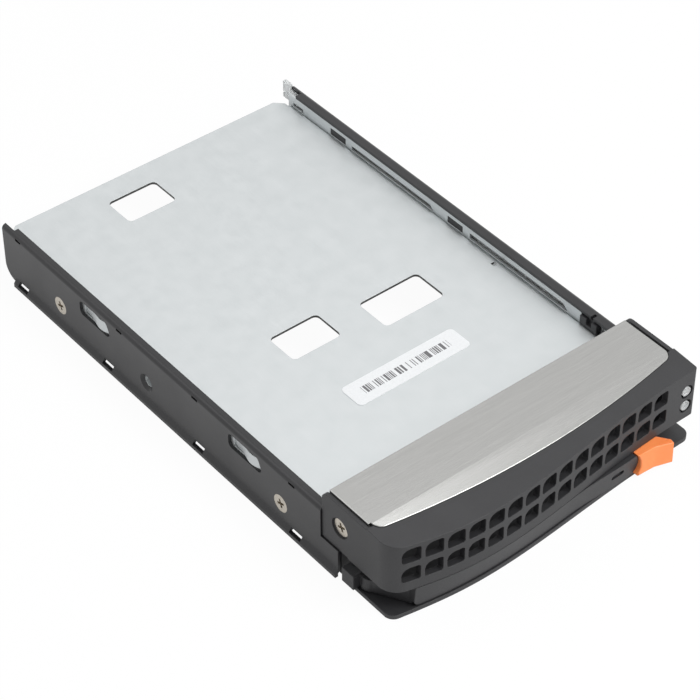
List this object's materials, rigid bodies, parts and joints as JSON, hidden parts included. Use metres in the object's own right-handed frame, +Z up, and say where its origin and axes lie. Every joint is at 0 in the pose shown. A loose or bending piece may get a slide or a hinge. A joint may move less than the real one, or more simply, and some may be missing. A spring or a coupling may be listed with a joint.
{
  "type": "hot swap drive caddy",
  "caption": "Drive caddy with folded steel rails, a galvanised tray, a curved grille bezel, a hinged front lever and a sprung release button.",
  "frame": {"origin": "on the plane that the caddy stands on, under the middle of its bounding box", "axes": "+X to the right seen from the front, +Y from the front towards the connector end, +Z up"},
  "size_m": [0.1096, 0.183, 0.0264],
  "materials": {
    "black_paint": "satin black coat on sheet steel",
    "galvanised_sheet": "galvanised sheet, faint grain",
    "brushed_plate": "brushed along its length",
    "black_moulding": "fine matt texture",
    "orange_moulding": "smooth, slightly glossy",
    "clear_moulding": "clear, polished",
    "spring_wire": "drawn wire",
    "plated_screw": "nickel plated",
    "ground_pin": "ground",
    "white_label": "paper with a clear film"
  },
  "bodies": {
    "chassis": {"left_rail": "black_paint", "right_rail": "black_paint", "left_liner": "galvanised_sheet", "right_liner": "galvanised_sheet", "drive_tray": "galvanised_sheet", "tray_label": "white_label", "bezel": "black_moulding", "bezel_plate": "brushed_plate", "lever_pin": "ground_pin", "lever_spring": "spring_wire", "button_spring": "spring_wire", "light_pipe_lower": "clear_moulding", "light_pipe_upper": "clear_moulding", "light_pipe_clip_front": "black_moulding", "light_pipe_clip_middle": "black_moulding", "light_pipe_clip_rear": "black_moulding", "left_screw_rear": "plated_screw", "left_screw_front": "plated_screw", "right_screw_rear": "plated_screw", "right_screw_front": "plated_screw", "left_bezel_screw": "plated_screw", "right_bezel_screw": "plated_screw"},
    "lever": {"lever": "black_moulding"},
    "button": {"release_button": "orange_moulding"}
  },
  "joints": [
    {"name": "lever_hinge", "type": "hinge", "parent": "chassis", "child": "lever", "pos_m": [-0.0496, -0.0744, 0.0052], "axis": [0, 0, -1], "range_deg": [0, 45], "deforming": ["lever_spring"]},
    {"name": "button_slide", "type": "slide", "parent": "chassis", "child": "button", "axis": [0, 1, 0], "range_m": [0, 0.002], "stiffness_N_per_m": 400, "springref_m": -0.002, "deforming": ["button_spring"]}
  ]
}
